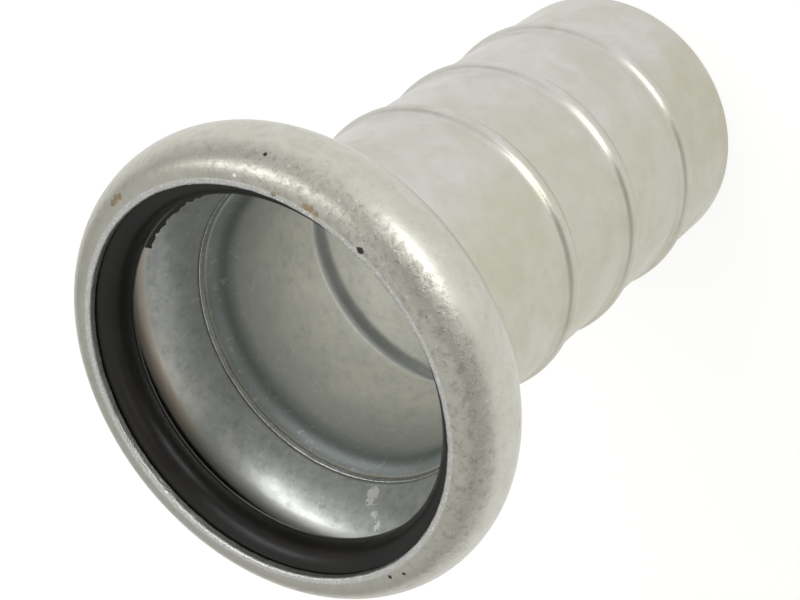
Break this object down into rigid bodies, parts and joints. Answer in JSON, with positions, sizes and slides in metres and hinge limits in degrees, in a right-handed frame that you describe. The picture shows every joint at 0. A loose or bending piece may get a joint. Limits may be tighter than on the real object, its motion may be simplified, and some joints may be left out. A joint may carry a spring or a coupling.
{
  "type": "female ball coupling with hose tail",
  "caption": "Galvanised pressed-steel ball socket with a rubber seal in its rolled rim and a beaded hose tail, the female half of a lever-lock pipe coupling.",
  "frame": {"origin": "centre of the hose tail's end face, on the axis", "axes": "+Z along the axis from the tail's end to the mouth of the socket; X and Y are any two directions across, because the part is round"},
  "size_m": [0.157, 0.157, 0.225],
  "materials": {
    "galvanised_socket": "hot-dip galvanised, dull and mottled",
    "seal_rubber": "moulded black rubber, slight sheen",
    "galvanised_weld": "hot-dip galvanised weld bead",
    "galvanised_tail": "hot-dip galvanised, smooth satin"
  },
  "bodies": {
    "root": {"socket_shell": "galvanised_socket", "seal_ring": "seal_rubber", "neck_weld": "galvanised_weld", "hose_tail": "galvanised_tail"}
  },
  "joints": []
}
